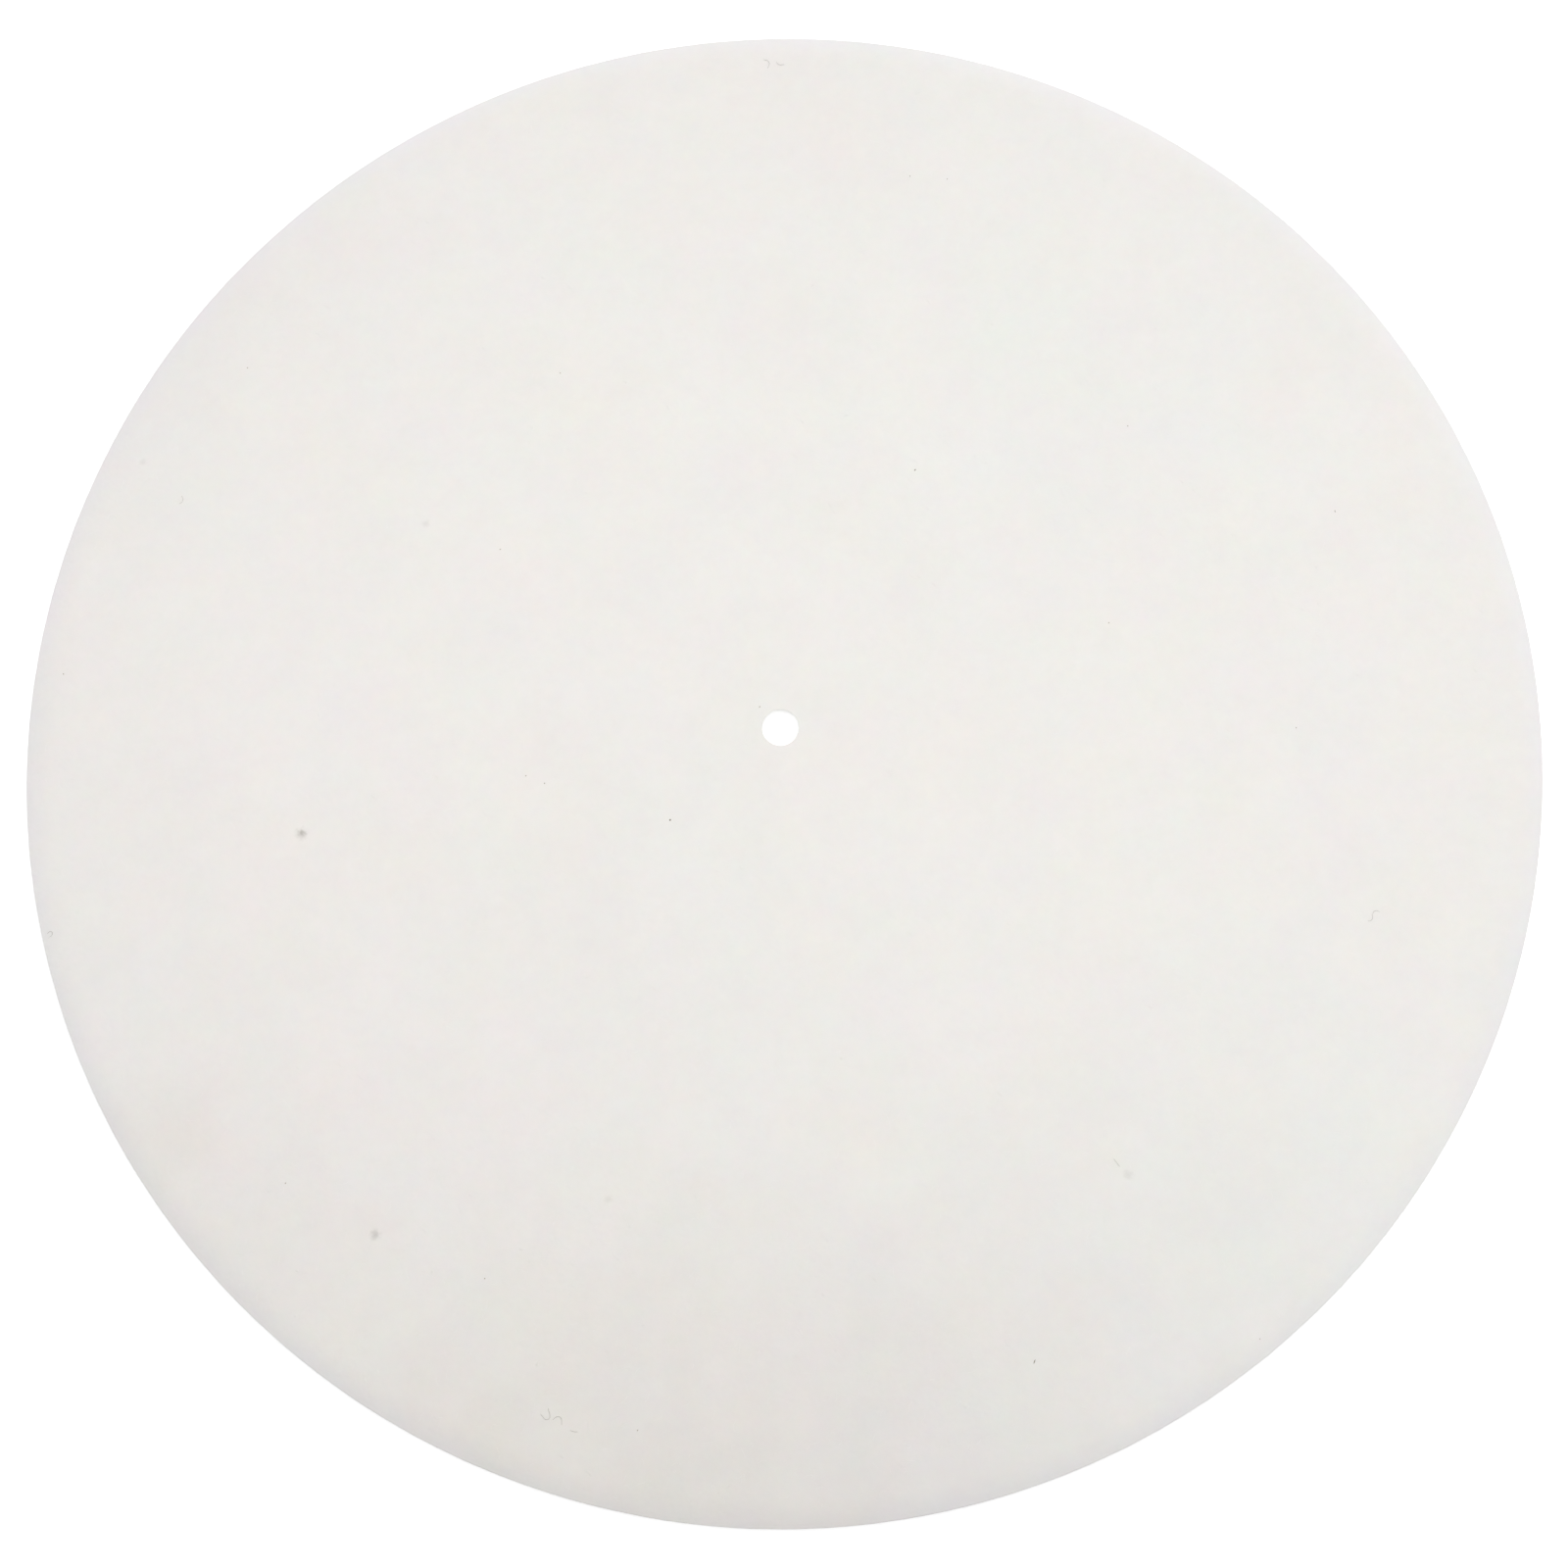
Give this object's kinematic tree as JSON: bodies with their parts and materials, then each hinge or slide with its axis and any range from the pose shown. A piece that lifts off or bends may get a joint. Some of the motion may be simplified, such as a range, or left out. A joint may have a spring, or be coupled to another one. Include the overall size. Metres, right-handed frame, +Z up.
{
  "type": "turntable platter mat",
  "caption": "Thin round off-white felt mat with softly rolled rim and a small central spindle hole, lying between a record and a turntable platter.",
  "frame": {"origin": "centre of the spindle hole, on the underside that lies on the platter", "axes": "+Z up along the spindle axis, out of the face that carries the record; the mat is round, so +X and +Y are alike"},
  "size_m": [0.3, 0.3, 0.0025],
  "materials": {
    "felt": "matte pressed wool felt"
  },
  "bodies": {
    "root": {"felt_mat": "felt"}
  },
  "joints": []
}
